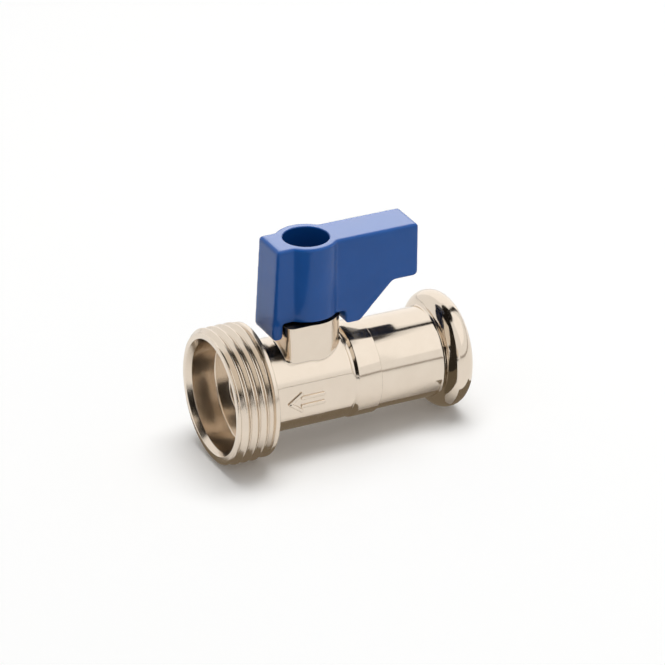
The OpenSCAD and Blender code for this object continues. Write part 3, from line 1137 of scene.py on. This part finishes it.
# %% [markdown]
# ## Cards for the metal to mirror
#
# Polished metal is only as interesting as the room it mirrors. Dark and bright cards stand
# round the valve, where a product photographer would put them. Only mirrors see them: they
# cast no shadow, and the camera looks past them.

# %% Card materials
CARD_DISTANCE = 0.9


def card_paint(name, colour, level=1.0, one_way=False):
    """Paint that is as bright as written, from both sides or from the front alone."""
    material, tree, shader = finish(name, Base_Color=(0, 0, 0, 1), Roughness=1,
                                    Specular_IOR_Level=0, Emission_Color=colour,
                                    Emission_Strength=level)
    if one_way:
        side = node(tree, "ShaderNodeNewGeometry").outputs["Backfacing"]
        link(tree, math_node(tree, "SUBTRACT", 1.0, side), shader.inputs["Alpha"])
    return material


black = card_paint("black_card", (0.012, 0.01, 0.008, 1))
shade = card_paint("shade_card", (0.2, 0.165, 0.12, 1))
grey = card_paint("grey_card", (0.42, 0.39, 0.36, 1))
beige = card_paint("beige_card", (0.8, 0.73, 0.64, 1))
bright = card_paint("bright_card", (1, 1, 1, 1), 1.22)
one_way_black = card_paint("one_way_black", (0.03, 0.025, 0.018, 1), one_way=True)
one_way_brown = card_paint("one_way_brown", (0.13, 0.105, 0.07, 1), one_way=True)
print("card paints:", [m.name for m in bpy.data.materials if m.name.endswith("_card")])

# %% [markdown]
# A card spans two rows of places. Most are given by compass, as azimuth and elevation seen
# from the valve, because that is how a mirror finds them: each normal of the metal looks
# one way, and the card that stands there gives its brightness.

# %% Cards


def card(name, near_row, far_row, paint):
    """Sheet between two rows of places, seen only by mirrors."""
    bm = bmesh.new()
    edges = []
    for row in (near_row, far_row):
        verts = [bm.verts.new(p) for p in row]
        edges += [bm.edges.new(pair) for pair in zip(verts, verts[1:])]
    bmesh.ops.bridge_loops(bm, edges=edges)
    sheet = piece(name, bm, sharp=0)
    sheet.visible_camera = sheet.visible_diffuse = sheet.visible_shadow = False
    sheet.data.materials.append(paint)
    print(name, len(sheet.data.polygons), "faces")
    return sheet


def arc_card(name, azimuths, elevations, paint, distance=CARD_DISTANCE):
    """Card over a range of azimuths and elevations."""
    columns = max(2, round(abs(azimuths[1] - azimuths[0]) / 6))
    turns = [azimuths[0] + (azimuths[1] - azimuths[0]) * k / columns for k in range(columns + 1)]
    card(name, *([toward(a, height, distance) for a in turns] for height in elevations), paint)


def edge_of(line, distance=CARD_DISTANCE):
    """Places along a line of azimuths and elevations."""
    return [toward(a, e, distance) for a, e in line]


left_edge = ((-84, 0), (-62, 20), (-60, 45), (-70, 72))
right_edge = ((-20, 0), (-24, 20), (-24, 45), (-24, 72))
card("card_left", edge_of(left_edge), edge_of(right_edge), black)
arc_card("card_beige", (-112, -61), (6, 50), beige, CARD_DISTANCE * 0.95)
arc_card("card_high_left", (-125, -24), (50, 76), black, CARD_DISTANCE * 0.96)
arc_card("card_window", (-36, -14), (3, 17), beige, CARD_DISTANCE * 0.95)
arc_card("card_horizon", (-4, 135), (0.5, 4.5), grey)
arc_card("card_right", (20, 98), (22, 66), bright)
arc_card("card_back", (118, 185), (-1, 64), bright)
arc_card("card_overhead", (0, 360), (70, 89.9), black)

# %% [markdown]
# Two more far cards. One is the dark gap between the sheets of the light tent, high at the
# right, where it follows a slanted line. The other is a black sheet on the floor at the front
# left, beyond the white paper, which darkens what the metal mirrors there.

# %% Gap and dark floor
GAP_HALF = 3.5
FLOOR_CARD_LIFT = 0.5
gap_line = ((100, 75), (103, 60), (107, 45), (112, 30), (120, 5))


def gap_edge(side):
    """One edge of the gap, as wide to that side of the line at every height."""
    line = [(a + side * GAP_HALF / math.cos(math.radians(e)), e) for a, e in gap_line]
    return edge_of(line, CARD_DISTANCE * 0.98)


def on_floor(azimuth, distance):
    """Place just above the sheet, by azimuth and distance from under the spindle."""
    spot = away(math.radians(azimuth), 0) * distance
    return lay_flat @ (Vector((spindle_x, 0, FLOOR_CARD_LIFT)) * MM + spot)


def dark_floor_edge(distance):
    """Arc on the floor at the front left."""
    return [on_floor(azimuth, distance) for azimuth in range(-100, -14, 5)]


card("card_gap", gap_edge(-1), gap_edge(1), black)
card("card_dark_floor", dark_floor_edge(0.22), dark_floor_edge(0.8), black)

# %% [markdown]
# Metal also mirrors what stands close to it. On the bead and on the thread the photo shows
# dark shapes that no far card gives, so small ones stand right beside them. Each is seen
# from its front alone: a card that darkens the bead has to leave the tube behind it bright.

# %% Cards close to the metal
BEAD_CARD_X = 41.5
BEAD_CARD_FRONT = -20
LEVER_CORNER = Vector((13, -4.3, 14.2))


def bead_card(name, inner, paint):
    """Upright card just before the bead, from an inner edge of (y, z) places forward."""
    outer = [(BEAD_CARD_FRONT, z) for _, z in inner]
    card(name, *([Vector((BEAD_CARD_X, y, z)) * MM for y, z in edge] for edge in (outer, inner)),
         paint)


def lever_edge(distance):
    """Arc round the lever's front left corner, level with the top of the neck."""
    return [(LEVER_CORNER + away(math.radians(azimuth), 0) * distance) * MM
            for azimuth in range(-113, 0, 8)]


bead_card("card_bead_high", ((-11.3, 14), (-11, 5), (-9.4, 0), (-9.2, -2)), one_way_black)
bead_card("card_bead_low", ((-9.2, -2), (-8.4, -5), (-6, -8), (-6, -11.6)), one_way_brown)
card("card_lever", lever_edge(60), lever_edge(0.3), one_way_black)

# %% [markdown]
# The paper under the valve lies in its shade, and the lowest metal mirrors that shade as a
# brown strip. Three cards just above the paper give it. The strip is wide under the forging,
# narrow under the tube and wide again under the bead, and so are the cards.

# %% Shade under the valve
SHADE_LIFT = 0.6
SHADE_BACK = 24
for label, start, end, front in (("a", -3, 30, -10.5), ("b", 30, 48, -6.5), ("c", 48, 60, -14)):
    rows = [[lay_flat @ (Vector((x, y, SHADE_LIFT)) * MM) for x in (start, end)]
            for y in (front, SHADE_BACK)]
    card(f"card_shade_{label}", *rows, shade)
